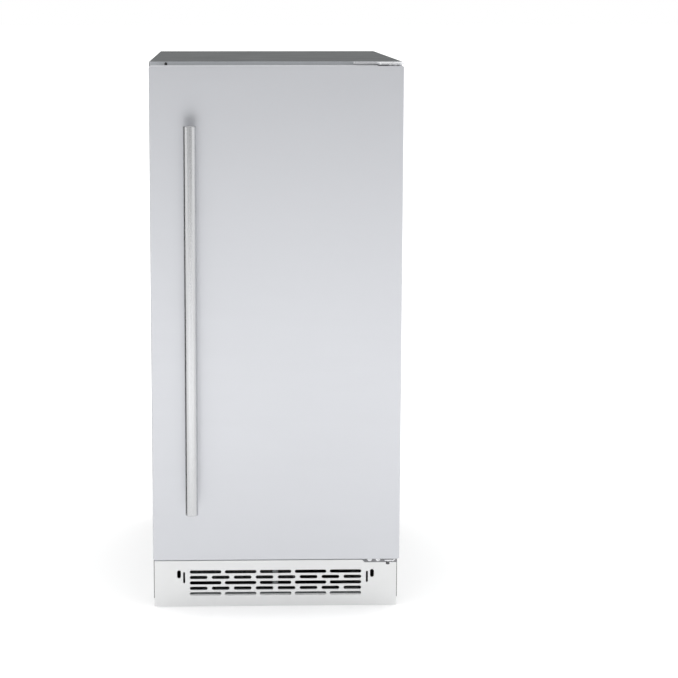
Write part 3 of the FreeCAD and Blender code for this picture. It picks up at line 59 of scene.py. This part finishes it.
class Look:
    """One node material on a Principled shader, in the metres of the row frame."""

    def __init__(self, name, color, rough, metallic=0.0, **sockets):
        self.material = bpy.data.materials.new(name)
        self.material.use_nodes = True
        self.tree = self.material.node_tree
        self.shader = self.tree.nodes["Principled BSDF"]
        self.set("Base Color", (*color, 1.0))
        self.set("Roughness", rough)
        self.set("Metallic", metallic)
        for socket, value in sockets.items():
            self.set(socket.replace("_", " "), value)
        self.color = color
        self.rough = rough
        self.coordinates = self.tree.nodes.new("ShaderNodeTexCoord").outputs["Object"]
        self.last_normal = None

    def set(self, socket, value):
        self.shader.inputs[socket].default_value = value

    def link(self, source, target):
        self.tree.links.new(source, target)

    def mapped(self, stretch):
        mapping = self.tree.nodes.new("ShaderNodeMapping")
        mapping.inputs["Scale"].default_value = stretch
        self.link(self.coordinates, mapping.inputs["Vector"])
        return mapping.outputs["Vector"]

    def noise(self, scale, detail=3.0, stretch=(1, 1, 1)):
        node = self.tree.nodes.new("ShaderNodeTexNoise")
        node.inputs["Scale"].default_value = scale
        node.inputs["Detail"].default_value = detail
        self.link(self.mapped(stretch), node.inputs["Vector"])
        return node.outputs["Fac"]

    def cells(self, scale, output="Color"):
        node = self.tree.nodes.new("ShaderNodeTexVoronoi")
        node.inputs["Scale"].default_value = scale
        self.link(self.coordinates, node.inputs["Vector"])
        return node.outputs[output]

    def spread(self, value, low, high, start=0.3, end=0.7):
        node = self.tree.nodes.new("ShaderNodeMapRange")
        node.inputs["From Min"].default_value = start
        node.inputs["From Max"].default_value = end
        node.inputs["To Min"].default_value = low
        node.inputs["To Max"].default_value = high
        self.link(value, node.inputs["Value"])
        return node.outputs["Result"]

    def vary_color(self, value, other, start=0.3, end=0.7):
        mix = self.tree.nodes.new("ShaderNodeMix")
        mix.data_type = "RGBA"
        mix.inputs[6].default_value = (*self.color, 1.0)
        mix.inputs[7].default_value = (*other, 1.0)
        self.link(self.spread(value, 0.0, 1.0, start, end), mix.inputs["Factor"])
        self.link(mix.outputs[2], self.shader.inputs["Base Color"])
        return self

    def vary_rough(self, value, amount, start=0.3, end=0.7):
        low, high = self.rough - amount, self.rough + amount
        self.link(self.spread(value, low, high, start, end), self.shader.inputs["Roughness"])
        return self

    def bump(self, value, depth_mm, strength=1.0):
        node = self.tree.nodes.new("ShaderNodeBump")
        node.inputs["Strength"].default_value = strength
        node.inputs["Distance"].default_value = depth_mm * MM
        self.link(value, node.inputs["Height"])
        if self.last_normal is not None:
            self.link(self.last_normal, node.inputs["Normal"])
        self.last_normal = node.outputs["Normal"]
        self.link(self.last_normal, self.shader.inputs["Normal"])
        return self

    def upright_tangent(self):
        node = self.tree.nodes.new("ShaderNodeTangent")
        node.direction_type = "RADIAL"
        node.axis = "Z"
        self.link(node.outputs["Tangent"], self.shader.inputs["Tangent"])
        return self


def brushed(name, color, other, rough, grain, anisotropic):
    """Brushed metal; the grain's stretch is small along the brush lines."""
    look = Look(name, color, rough, 1.0, Anisotropic=anisotropic, Anisotropic_Rotation=QUARTER_TURN)
    fine = look.noise(1.0, 2.0, grain)
    broad = look.noise(4.0, 2.0)
    look.vary_color(broad, other)
    look.vary_rough(fine, 0.025)
    look.bump(fine, 0.008, 0.3)
    return look.upright_tangent().material


def plated(name, color, other, rough, scale=60.0, metallic=1.0):
    """Plated, cast or drawn metal with patches that are duller and a shade off."""
    look = Look(name, color, rough, metallic)
    patches = look.noise(scale, 4.0)
    look.vary_color(patches, other).vary_rough(patches, 0.07)
    look.bump(look.noise(900.0, 2.0), 0.01, 0.4)
    return look.material


def moulded(name, color, other, rough, texture_mm=0.02, grain=1400.0, **sockets):
    """Moulded plastic: faint mottling and a fine spark-eroded texture."""
    look = Look(name, color, rough, 0.0, **sockets)
    look.vary_color(look.noise(9.0, 0.0), other, 0.2, 0.8)
    look.vary_rough(look.noise(30.0, 0.0), 0.04, 0.1, 0.9)
    look.bump(look.noise(grain, 2.0), texture_mm, 0.6)
    return look.material


def painted(name, color, other, rough, peel_mm=0.05, **sockets):
    """Powder coat: fine speckle, orange-peel bump and an uneven sheen."""
    look = Look(name, color, rough, 0.0, **sockets)
    look.vary_color(look.noise(650.0, 3.0), other)
    look.vary_rough(look.noise(14.0, 3.0), 0.04)
    look.bump(look.noise(260.0, 2.0), peel_mm, 0.5)
    look.bump(look.noise(1600.0, 2.0), 0.02, 0.5)
    return look.material


def galvanised():
    """Zinc-coated sheet with spangle: flat crystals of slightly different brightness."""
    look = Look("galvanised_sheet", (0.31, 0.325, 0.335), 0.42, 0.85)
    spangle = look.cells(170.0)
    grey = look.tree.nodes.new("ShaderNodeRGBToBW")
    look.link(spangle, grey.inputs["Color"])
    look.vary_color(grey.outputs["Val"], (0.385, 0.40, 0.41), 0.1, 0.9)
    look.vary_rough(grey.outputs["Val"], 0.07, 0.1, 0.9)
    look.bump(look.noise(700.0, 2.0), 0.02, 0.3)
    return look.material


def clear(name, color, rough):
    """Clear or milky plastic with a slight waviness."""
    look = Look(name, color, rough, 0.0, Transmission_Weight=1.0, IOR=1.49)
    look.vary_rough(look.noise(60.0, 4.0), 0.015)
    look.bump(look.noise(25.0, 2.0), 0.03, 0.15)
    return look.material


def foam():
    """Yellow polyurethane foam with open cells at the surface."""
    look = Look("pu_foam", (0.80, 0.72, 0.46), 0.9)
    look.vary_color(look.noise(60.0, 4.0), (0.70, 0.60, 0.36))
    look.bump(look.cells(500.0, output="Distance"), 0.3, 0.7)
    return look.material


def finned_metal():
    """Thin aluminium fins, unevenly dusty."""
    look = Look("condenser_fin", (0.30, 0.31, 0.32), 0.45, 1.0)
    look.vary_color(look.noise(40.0, 4.0), (0.20, 0.20, 0.20))
    look.vary_rough(look.noise(120.0, 3.0), 0.1)
    return look.material


MATERIALS = {
    # painted and plated steel
    "cabinet_paint": painted(
        "cabinet_coat", (0.091, 0.098, 0.100), (0.082, 0.088, 0.090), 0.62, Specular_IOR_Level=0.12
    ),
    "frame_paint": painted(
        "frame_coat", (0.44, 0.455, 0.475), (0.41, 0.425, 0.445), 0.5, 0.03, Specular_IOR_Level=0.3
    ),
    "black_steel": painted(
        "compressor_enamel", (0.016, 0.016, 0.017), (0.024, 0.024, 0.025), 0.3, 0.06, Coat_Weight=0.3
    ),
    "galvanised": galvanised(),
    "zinc": plated("zinc_plate", (0.86, 0.87, 0.89), (0.78, 0.79, 0.81), 0.26, metallic=0.6),
    # darker copy of the zinc plate, used on the lower hinge bracket as painted shade under the door
    "dark_zinc": plated("shaded_zinc_plate", (0.26, 0.262, 0.27), (0.20, 0.202, 0.21), 0.34),
    # dark laminate steel; on the hinge pins this dark colour is painted shade
    "dark_metal": plated("laminate_and_shaded_pin_metal", (0.14, 0.14, 0.145), (0.09, 0.09, 0.09), 0.45),
    # brushed stainless
    "stainless": brushed(
        "door_stainless", (0.612, 0.622, 0.650), (0.604, 0.614, 0.642), 0.36, DOOR_GRAIN, 0.6
    ),
    "stainless_light": brushed(
        "grille_stainless", (0.76, 0.765, 0.765), (0.735, 0.74, 0.74), 0.34, GRILLE_GRAIN, 0.5
    ),
    "stainless_bar": brushed(
        "handle_stainless", (0.52, 0.525, 0.533), (0.505, 0.51, 0.52), 0.26, BAR_GRAIN, 0.2
    ),
    # other metals
    "nickel": plated("nickel_plate", (0.58, 0.57, 0.54), (0.48, 0.47, 0.44), 0.24, 25.0),
    "copper": plated("copper_tube", (0.72, 0.36, 0.20), (0.50, 0.23, 0.13), 0.30, 35.0),
    "brass": plated("brass_body", (0.70, 0.52, 0.24), (0.56, 0.40, 0.18), 0.30, 50.0),
    "fin_aluminium": finned_metal(),
    # plastics, rubber, glass and foam
    "liner_plastic": moulded(
        "liner_abs", (0.80, 0.815, 0.82), (0.77, 0.785, 0.79), 0.32, 0.002, 300.0
    ),
    "housing_plastic": moulded("housing_abs", (0.60, 0.61, 0.62), (0.57, 0.58, 0.59), 0.45),
    "pale_plastic": moulded("pale_abs", (0.74, 0.75, 0.76), (0.70, 0.71, 0.72), 0.42),
    "dark_plastic": moulded("dark_pp", (0.028, 0.028, 0.030), (0.036, 0.036, 0.038), 0.5, 0.03),
    "leg_plastic": moulded("leg_pa", (0.022, 0.022, 0.022), (0.032, 0.032, 0.032), 0.52, 0.05, 900.0),
    "button_plastic": moulded(
        "button_gloss", (0.035, 0.036, 0.040), (0.045, 0.046, 0.050), 0.2, 0.004, 600.0, Coat_Weight=0.4
    ),
    "scoop_plastic": moulded(
        "scoop_pp", (0.055, 0.145, 0.32), (0.045, 0.125, 0.29), 0.33, 0.015, 700.0, Subsurface_Weight=0.05
    ),
    "rubber": moulded("black_rubber", (0.018, 0.018, 0.018), (0.028, 0.028, 0.028), 0.75, 0.05, 800.0),
    "gasket": moulded("gasket_vinyl", (0.30, 0.305, 0.31), (0.26, 0.265, 0.27), 0.55, 0.02, 700.0),
    "dark_glass": moulded(
        "display_black", (0.006, 0.007, 0.010), (0.010, 0.011, 0.014), 0.09, 0.002, 80.0, Coat_Weight=1.0
    ),
    "clear_plastic": clear("clear_acrylic", (0.93, 0.97, 0.98), 0.03),
    "clear_hose": clear("milky_silicone", (0.90, 0.91, 0.90), 0.25),
    "foam": foam(),
}
SLOT_OF = {row["node"]: row["material_slot"] for row in frame["record"]["subparts"]}


def dress_nodes():
    """Gives every CAD node the material of its slot in the record."""
    for name, node in NODES.items():
        for place in node.material_slots:
            place.link = "OBJECT"
            place.material = MATERIALS[SLOT_OF[name]]


# ---------------------------------------------------------------- mesh helpers
def mesh_piece(name, vertices, faces, body, slot, sharp_deg=35.0):
    """Smooth-shaded piece from points in millimetres; edges above sharp_deg stay crisp."""
    mesh = bpy.data.meshes.new(name)
    mesh.from_pydata([Vector(v) * MM for v in vertices], [], faces)
    clean = bmesh.new()
    clean.from_mesh(mesh)
    bmesh.ops.recalc_face_normals(clean, faces=clean.faces)
    clean.to_mesh(mesh)
    clean.free()
    mesh.polygons.foreach_set("use_smooth", [True] * len(mesh.polygons))
    mesh.set_sharp_from_angle(angle=math.radians(sharp_deg))
    mesh.materials.append(MATERIALS[slot])
    piece = bpy.data.objects.new(name, mesh)
    bpy.context.scene.collection.objects.link(piece)
    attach(piece, body)
    return piece


def ring_faces(rings, size, closed=True):
    """Quads between consecutive rings of the same size; closed joins last to first."""
    faces = []
    for i in range(rings if closed else rings - 1):
        a, b = i * size, ((i + 1) % rings) * size
        for j in range(size):
            k = (j + 1) % size
            faces.append((a + j, a + k, b + k, b + j))
    return faces


def block(x0, x1, y0, y1, z0, z1):
    """Vertices and faces of a box, to be added to a larger mesh."""
    vertices = [(x, y, z) for x in (x0, x1) for y in (y0, y1) for z in (z0, z1)]
    faces = [(0, 1, 3, 2), (4, 6, 7, 5), (0, 4, 5, 1), (2, 3, 7, 6), (0, 2, 6, 4), (1, 5, 7, 3)]
    return vertices, faces


def joined(parts):
    """Several (vertices, faces) pairs as one."""
    vertices, faces = [], []
    for part_vertices, part_faces in parts:
        start = len(vertices)
        vertices += part_vertices
        faces += [tuple(start + i for i in face) for face in part_faces]
    return vertices, faces


def corner(name, side):
    """A node's lowest (0) or highest (1) corner in millimetres."""
    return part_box(name)[side] / MM


def turned(profile, x, y, steps=40, start_deg=0.0):
    """Ring of a (radius, z) profile about an upright axis, closed from its last point to its first."""
    vertices = []
    for i in range(steps):
        turn = 2 * math.pi * i / steps + math.radians(start_deg)
        vertices += [(x + r * math.cos(turn), y + r * math.sin(turn), z) for r, z in profile]
    return vertices, ring_faces(steps, len(profile))


def lathe(profile, x, y, steps=40, start_deg=0.0):
    """Solid of revolution: a turned profile that is capped at both ends instead of closed."""
    size = len(profile)
    vertices, bands = turned(profile, x, y, steps, start_deg)
    faces = [face for face in bands if abs(face[0] - face[1]) == 1]
    faces += [tuple(range(end, len(vertices), size)) for end in (0, size - 1)]
    return vertices, faces


def tube(name, path, radius, body, slot, sides=16):
    """Round tube along a path of points, capped at both ends."""
    points = [Vector(p) for p in path]
    vertices = []
    reference = Vector((0, 1, 0))
    for i, point in enumerate(points):
        before, after = points[max(i - 1, 0)], points[min(i + 1, len(points) - 1)]
        along = (after - before).normalized()
        side = reference - along * reference.dot(along)
        side = side.normalized() if side.length > 1e-3 else Vector((0, 0, 1))
        other = along.cross(side)
        for k in range(sides):
            turn = 2 * math.pi * k / sides
            vertices.append(point + radius * (math.cos(turn) * side + math.sin(turn) * other))
    faces = ring_faces(len(points), sides, closed=False)
    faces += [tuple(range(sides)), tuple(range(len(vertices) - sides, len(vertices)))]
    return mesh_piece(name, vertices, faces, body, slot)


# ---------------------------------------------------------------- door seal
def door_seal():
    """Bellows gasket: moulded base, folded waist and a magnet pad, swept round the door."""
    low, high = corner("door_gasket", 0), corner("door_gasket", 1)
    width, bend = 14.0, 10.0
    half_x = (high.x - low.x - width) / 2
    z0, z1 = low.z + width / 2, high.z - width / 2
    depth = high.y - low.y
    profile = [
        (6.0, 0.0), (6.7, 0.5), (6.5, 1.3), (5.4, 1.8), (4.7, 2.5), (5.3, 3.2), (6.4, 3.6),
        (6.9, 4.4), (6.5, 5.2), (6.9, 5.9), (6.9, 7.4), (6.3, depth), (2.2, depth),
        (1.8, depth - 0.5), (-1.8, depth - 0.5), (-2.2, depth),
    ]
    half_profile = profile[:12]
    profile += [(-u, v) for u, v in reversed(half_profile)]
    vertices = []
    rings = 0
    steps = 8
    corners = [(half_x, z1, 0), (-half_x, z1, 90), (-half_x, z0, 180), (half_x, z0, 270)]
    for x, z, start in corners:
        cx, cz = x - math.copysign(bend, x), z - bend * (1 if z == z1 else -1)
        for i in range(steps + 1):
            turn = math.radians(start + 90 * i / steps)
            out = (math.cos(turn), math.sin(turn))
            for u, v in profile:
                reach = bend + u
                vertices.append((cx + out[0] * reach, low.y + v, cz + out[1] * reach))
            rings += 1
    piece = mesh_piece("door_seal", vertices, ring_faces(rings, len(profile)), "door", "gasket", 50)
    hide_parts("door_gasket")


# ---------------------------------------------------------------- hinges and probe
def hinge_hardware():
    """Pins in dark metal that stands for painted shade, with a bright washer, collar and hexagon nut."""
    low, high = corner("hinge_pins", 0), corner("hinge_pins", 1)
    x, y = (low.x + high.x) / 2, (low.y + high.y) / 2
    foot, head = low.z, high.z
    upper = [(3.4, head - 16.5), (4.0, head - 15.7), (4.0, head - 4.4), (4.0, head - 0.6), (3.4, head)]
    lower = [(2.2, foot), (2.8, foot + 0.6), (2.8, foot + 9.0)]
    lower += [(4.0, foot + 9.0), (4.0, foot + 25.2), (3.4, foot + 26.0)]
    vertices, faces = joined([lathe(upper, x, y), lathe(lower, x, y)])
    # the pins' dark colour is painted shade under the hinge leaves and the door
    pins = mesh_piece("hinge_pin_pair", vertices, faces, "cabinet", "dark_metal", 40)
    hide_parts("hinge_pins")
    washer = [(6.1, head - 4.4), (6.5, head - 4.1), (6.5, head - 3.0), (6.1, head - 2.7)]
    collar = [(6.5, foot + 12.0), (7.0, foot + 12.3), (7.0, foot + 13.6), (6.5, foot + 13.9)]
    nut = [(4.9, foot + 5.5), (5.6, foot + 6.0), (5.6, foot + 8.5), (4.9, foot + 9.0)]
    vertices, faces = joined([lathe(washer, x, y), lathe(collar, x, y), lathe(nut, x, y, 6, 30.0)])
    mesh_piece("hinge_nut_and_washers", vertices, faces, "cabinet", "zinc", 40)


def rounded_outline(half_y, half_z, bend, inset=0.0, steps=6):
    """Rounded rectangle in the YZ plane, drawn in by inset all round."""
    outline = []
    for side_y, side_z, start in ((1, 1, 0), (-1, 1, 90), (-1, -1, 180), (1, -1, 270)):
        for i in range(steps + 1):
            turn = math.radians(start + 90 * i / steps)
            reach = bend - inset
            u = side_y * (half_y - bend) + reach * math.cos(turn)
            v = side_z * (half_z - bend) + reach * math.sin(turn)
            outline.append((u, v))
    return outline


def probe():
    """Ice-level probe: a copper bulb held in a moulded clip on the right wall."""
    low, high = corner("bin_sensor", 0), corner("bin_sensor", 1)
    y, z = low.y + 125.0, (low.z + high.z) / 2
    half_y, half_z, bend, chamfer = 15.0, 12.0, 4.0, 0.8
    full = rounded_outline(half_y, half_z, bend)
    drawn_in = rounded_outline(half_y, half_z, bend, chamfer)
    layers = ((high.x, full), (low.x + chamfer, full), (low.x, drawn_in))
    vertices = [(x, y + u, z + v) for x, outline in layers for u, v in outline]
    size = len(full)
    faces = ring_faces(3, size, closed=False)
    faces += [tuple(range(size)), tuple(range(2 * size, 3 * size))]
    clip = mesh_piece("probe_clip", vertices, faces, "cabinet", "pale_plastic", 30)
    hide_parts("bin_sensor")
    x = high.x - 7.0
    bulb = [(x, low.y, z), (x, low.y + 1.0, z), (x, high.y, z)]
    tube("probe_bulb", bulb, 3.5, "cabinet", "copper", 24)


# ---------------------------------------------------------------- machine compartment
def compressor_grommets():
    """Four ribbed rubber grommets under the compressor's foot plate."""
    low, high = corner("compressor_mounts", 0), corner("compressor_mounts", 1)
    bore, waist, rim, pitch = 3.2, 9.5, 11.0, 4.9
    floor, top = low.z, high.z
    profile = [(bore, floor), (10.3, floor), (rim, floor + 0.8)]
    for rib in range(3):
        base = floor + 0.8 + pitch * rib
        profile += [(rim, base + 2.6), (waist, base + 3.4), (waist, base + 4.1), (rim, base + pitch)]
    profile += [(rim, top - 5.8), (10.4, top - 5.0), (7.0, top - 5.0)]
    profile += [(7.0, top - 0.6), (6.4, top), (bore, top)]
    places = [(x, y) for x in (low.x + rim, high.x - rim) for y in (low.y + rim, high.y - rim)]
    vertices, faces = joined([turned(profile, x, y) for x, y in places])
    piece = mesh_piece("compressor_grommets", vertices, faces, "cabinet", "rubber", 40)
    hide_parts("compressor_mounts")


def condenser_block():
    """Fins between two end plates, and one copper tube that runs back and forth through them."""
    low, high = corner("condenser", 0), corner("condenser", 1)
    lip, plate = 2.0, 1.5
    y0, y1 = low.y + lip, high.y - lip
    foot, top = low.z + 14.8, high.z - lip
    parts = [block(x, x + plate, low.y, high.y, low.z, high.z) for x in (low.x, high.x - plate)]
    fins, half_fin = 84, 0.12
    pitch = (high.x - low.x - 2 * plate) / (fins + 1)
    for i in range(fins):
        x = low.x + plate + pitch * (i + 1)
        parts.append(block(x - half_fin, x + half_fin, y0, y1, foot, top))
    vertices, faces = joined(parts)
    piece = mesh_piece("condenser_fins", vertices, faces, "cabinet", "fin_aluminium")
    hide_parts("condenser")

    bend, passes, steps = 10.4, 6, 12
    rows = [high.z - 16.0 - 2 * bend * i for i in range(passes)]
    middle = (y0 + y1) / 2
    left, right = low.x - 1.0, high.x + 1.0
    path = [(high.x, middle, rows[0])]
    for i, z in enumerate(rows[:-1]):
        x, out = (left, -1) if i % 2 == 0 else (right, 1)
        for k in range(steps + 1):
            turn = math.pi * k / steps
            path.append((x + out * bend * math.sin(turn), middle, z - bend + bend * math.cos(turn)))
    path.append((high.x, middle, rows[-1]))
    tube("condenser_tube", path, 3.0, "cabinet", "copper")


# ---------------------------------------------------------------- studio
def plain_emission(name, strength):
    material = bpy.data.materials.new(name)
    material.use_nodes = True
    nodes = material.node_tree.nodes
    nodes.clear()
    glow = nodes.new("ShaderNodeEmission")
    glow.inputs["Color"].default_value = (1, 1, 1, 1)
    glow.inputs["Strength"].default_value = strength
    out = nodes.new("ShaderNodeOutputMaterial")
    material.node_tree.links.new(glow.outputs[0], out.inputs["Surface"])
    return material


def plane(name, centre, size, facing, material):
    """Studio rectangle; size is its width and height in metres."""
    mesh = bpy.data.meshes.new(name)
    w, h = size[0] / 2, size[1] / 2
    mesh.from_pydata([(-w, -h, 0), (w, -h, 0), (w, h, 0), (-w, h, 0)], [], [(0, 1, 2, 3)])
    mesh.materials.append(material)
    piece = bpy.data.objects.new(name, mesh)
    bpy.context.scene.collection.objects.link(piece)
    piece.rotation_mode = "QUATERNION"
    piece.rotation_quaternion = Vector(facing).to_track_quat("Z", "Y")
    piece.location = centre
    return piece


def card(name, centre, size, strength, facing):
    """Studio card that only shows in the metal's reflections."""
    piece = plane(name, centre, size, facing, plain_emission(name + "_light", strength))
    piece.visible_camera = False
    piece.visible_shadow = False
    piece.visible_diffuse = False
    piece.visible_transmission = False


def floor_light(floor):
    """Overhead light for the floor alone, so that it stays pale right up to the object."""
    sun = bpy.data.lights.new("floor_light", "SUN")
    sun.energy = 1.35
    sun.angle = math.radians(60)
    sun.use_shadow = False
    lamp = bpy.data.objects.new("floor_light", sun)
    lamp.location = (0.0, 0.0, 4.0)
    bpy.context.scene.collection.objects.link(lamp)
    lit = bpy.data.collections.new("lit_by_floor_light")
    lit.objects.link(floor)
    lamp.light_linking.receiver_collection = lit


def studio():
    """White surroundings, a pale floor and cards for the metal to reflect."""
    world = bpy.data.worlds.new("white_studio")
    world.use_nodes = True
    background = world.node_tree.nodes["Background"]
    background.inputs["Color"].default_value = (1.0, 1.0, 1.0, 1.0)
    background.inputs["Strength"].default_value = 1.0
    bpy.context.scene.world = world

    pale = Look("floor_pale", (0.93, 0.93, 0.93), 0.9, Specular_IOR_Level=0.0)
    pale.vary_color(pale.noise(1.2, 2.0), (0.92, 0.92, 0.92))
    floor = plane("studio_floor", (0, 0, 0), (120.0, 120.0), (0, 0, 1), pale.material)
    floor_light(floor)

    card("front_wall", (0.0, -4.8, 1.9), (9.0, 3.8), 0.42, (0, 1, 0))
    card("bright_sweep", (0.0, -2.9, 0.002), (4.0, 3.2), 2.0, (0, 0, 1))
    card("left_flag", (-0.6, -0.125, 0.5), (0.35, 1.0), 0.02, (1, 0, 0))


def camera():
    """Long lens in front of the door, a little above the top and tilted down."""
    data = bpy.data.cameras.new("camera")
    data.lens = 103.2
    data.sensor_width = 36.0
    data.shift_x = 0.10
    data.shift_y = -0.065
    data.clip_end = 100.0
    holder = bpy.data.objects.new("camera", data)
    holder.location = (-0.0787, -3.151, 0.941)
    yaw, pitch = math.radians(1.41), math.radians(8.73)
    look = Vector((math.sin(yaw) * math.cos(pitch), math.cos(yaw) * math.cos(pitch), -math.sin(pitch)))
    holder.rotation_mode = "QUATERNION"
    holder.rotation_quaternion = look.to_track_quat("-Z", "Y")
    bpy.context.scene.collection.objects.link(holder)
    bpy.context.scene.camera = holder


scene = bpy.context.scene
scene.view_settings.view_transform = "Standard"
scene.view_settings.look = "None"
scene.view_settings.exposure = 0.0
scene.view_settings.gamma = 1.0

camera()
studio()
dress_nodes()
door_seal()
compressor_grommets()
condenser_block()
hinge_hardware()
probe()
